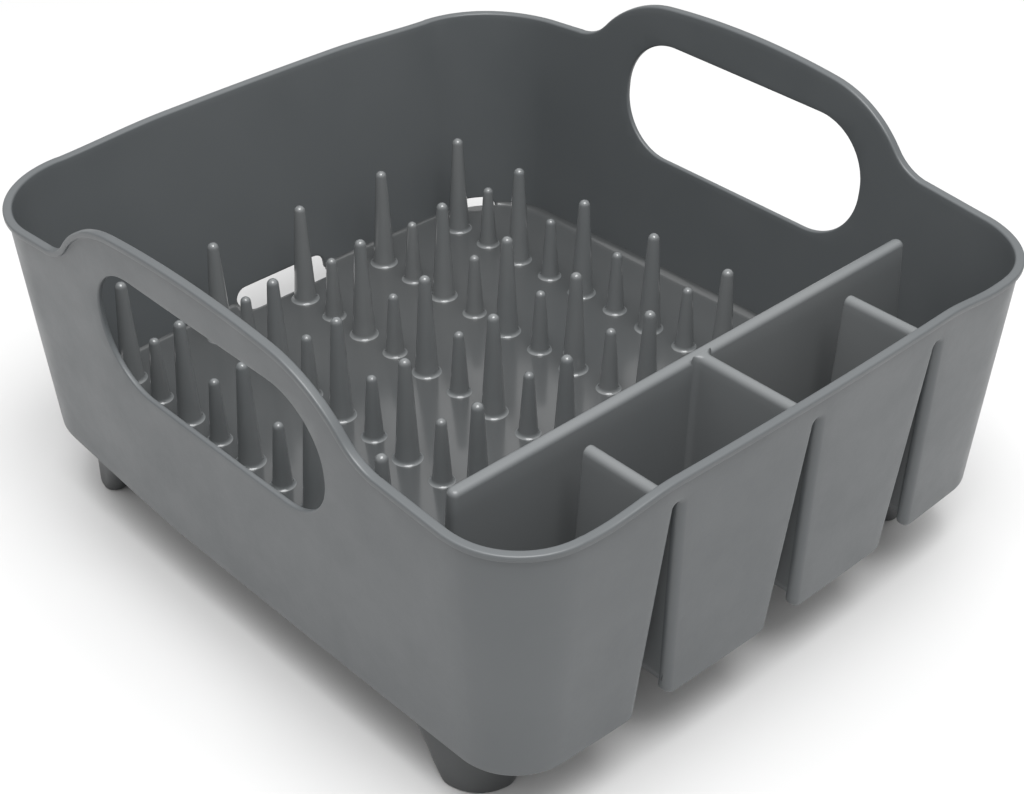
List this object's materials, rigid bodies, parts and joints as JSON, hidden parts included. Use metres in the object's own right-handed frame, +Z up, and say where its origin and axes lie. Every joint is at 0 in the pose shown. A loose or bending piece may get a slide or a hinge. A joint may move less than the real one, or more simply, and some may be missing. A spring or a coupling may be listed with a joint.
{
  "type": "dish drying rack",
  "caption": "Free-standing tub-shaped dish rack with a sloping pegged floor, hollow-walled cutlery section, raised side grips with hand holes, drain openings and corner feet.",
  "frame": {"origin": "on the worktop, under the middle of the tub", "axes": "+X to the right along the cutlery side, +Y from the cutlery side to the back, +Z up"},
  "size_m": [0.3228, 0.3604, 0.186],
  "materials": {
    "wall_plastic": "satin moulded polypropylene, charcoal grey",
    "floor_plastic": "polished moulded polypropylene, charcoal grey",
    "divider_plastic": "satin moulded polypropylene, charcoal grey",
    "peg_plastic": "glossy moulded polypropylene, charcoal grey",
    "foot_plastic": "satin moulded polypropylene, charcoal grey"
  },
  "bodies": {
    "root": {"front_wall": "wall_plastic", "front_left_corner": "wall_plastic", "front_right_corner": "wall_plastic", "left_wall": "wall_plastic", "right_wall": "wall_plastic", "left_handle": "wall_plastic", "right_handle": "wall_plastic", "back_wall": "wall_plastic", "back_left_corner": "wall_plastic", "back_right_corner": "wall_plastic", "basin_floor": "floor_plastic", "cutlery_floor": "floor_plastic", "long_divider": "divider_plastic", "middle_divider": "divider_plastic", "left_fin": "divider_plastic", "right_fin": "divider_plastic", "peg_row_1": "peg_plastic", "peg_row_2": "peg_plastic", "peg_row_3": "peg_plastic", "peg_row_4": "peg_plastic", "peg_row_5": "peg_plastic", "front_left_foot": "foot_plastic", "front_right_foot": "foot_plastic", "back_left_foot": "foot_plastic", "back_right_foot": "foot_plastic"}
  },
  "joints": []
}
